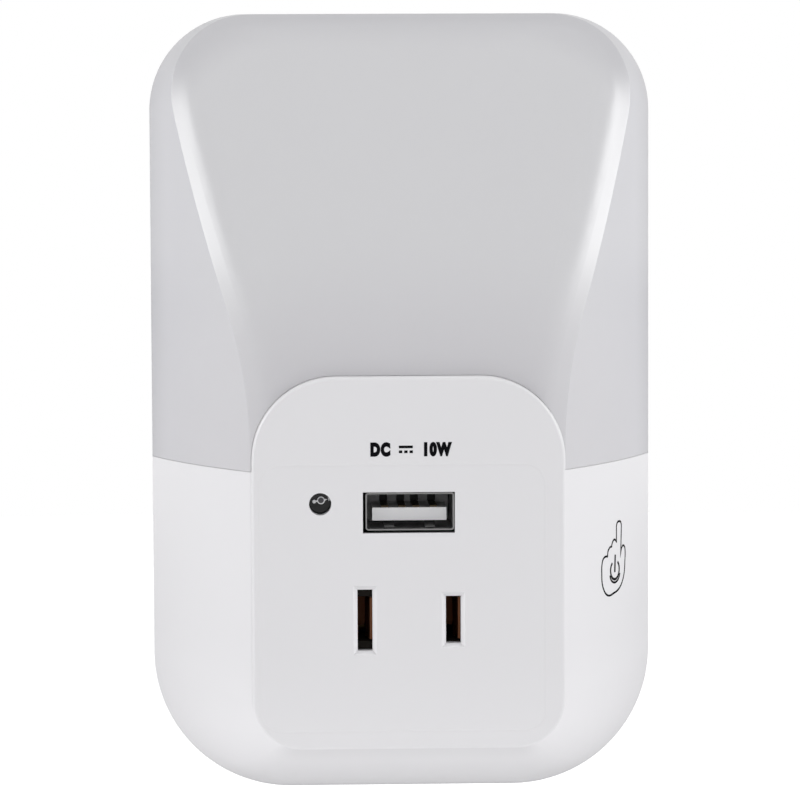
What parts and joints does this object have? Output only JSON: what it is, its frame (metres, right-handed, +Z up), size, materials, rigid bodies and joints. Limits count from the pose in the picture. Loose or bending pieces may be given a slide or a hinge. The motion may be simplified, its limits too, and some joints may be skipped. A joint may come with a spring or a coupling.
{
  "type": "plug-in night light",
  "caption": "Wall night light that plugs in at its back, with a glowing sloped top, a pass-through outlet, a USB socket and a light sensor on a raised front block.",
  "frame": {"origin": "on the wall plane, midway between the two plug blades", "axes": "+Z up, +X to the right seen from the front, +Y into the wall; the front faces -Y"},
  "size_m": [0.0752, 0.0535, 0.117],
  "materials": {
    "housing_plastic": "fine satin white moulding",
    "diffuser_plastic": "translucent opal white, satin",
    "cover_plastic": "satin white moulding",
    "blade_brass": "plain brass strip, light polish",
    "contact_copper": "copper alloy spring strip",
    "screw_steel": "zinc plated",
    "shell_steel": "nickel plated sheet",
    "socket_plastic": "white insulating plastic",
    "gold_contact": "gold plated strip",
    "black_rubber": "matte black tube",
    "holder_plastic": "dark heat resistant plastic",
    "sensor_body": "clear grey lens on a metal ring",
    "board_green": "glass epoxy board with green mask",
    "board_white": "board with white mask",
    "ferrite": "dull ferrite",
    "coil_tape": "yellow winding tape",
    "can_sleeve": "dark shrink sleeve",
    "blue_epoxy": "dipped epoxy",
    "chip_black": "moulded epoxy",
    "resistor_paint": "flameproof lacquer",
    "led_phosphor": "white package with yellow phosphor",
    "electrode_copper": "thin copper foil",
    "wire_black": "insulated wire",
    "wire_white": "insulated wire",
    "wire_red": "insulated wire",
    "wire_blue": "insulated wire"
  },
  "bodies": {
    "root": {"front_housing": "housing_plastic", "diffuser": "diffuser_plastic", "rear_cover": "cover_plastic", "housing_screws": "screw_steel", "neutral_blade": "blade_brass", "line_blade": "blade_brass", "neutral_contact": "contact_copper", "line_contact": "contact_copper", "contact_rivets": "screw_steel", "contact_holder": "holder_plastic", "holder_screws": "screw_steel", "usb_shell": "shell_steel", "usb_insulator": "socket_plastic", "usb_contacts": "gold_contact", "photocell": "sensor_body", "photocell_sleeve": "black_rubber", "power_board": "board_green", "board_screws": "screw_steel", "transformer_core": "ferrite", "transformer_coil": "coil_tape", "bulk_capacitor": "can_sleeve", "output_capacitor": "can_sleeve", "safety_capacitor": "blue_epoxy", "bridge_rectifier": "chip_black", "controller_chip": "chip_black", "fuse_resistor": "resistor_paint", "led_board": "board_white", "led_chips": "led_phosphor", "led_resistors": "chip_black", "led_board_screws": "screw_steel", "touch_pad": "electrode_copper", "touch_wire": "wire_blue", "line_wire": "wire_black", "neutral_wire": "wire_white", "led_wires": "wire_red"}
  },
  "joints": []
}
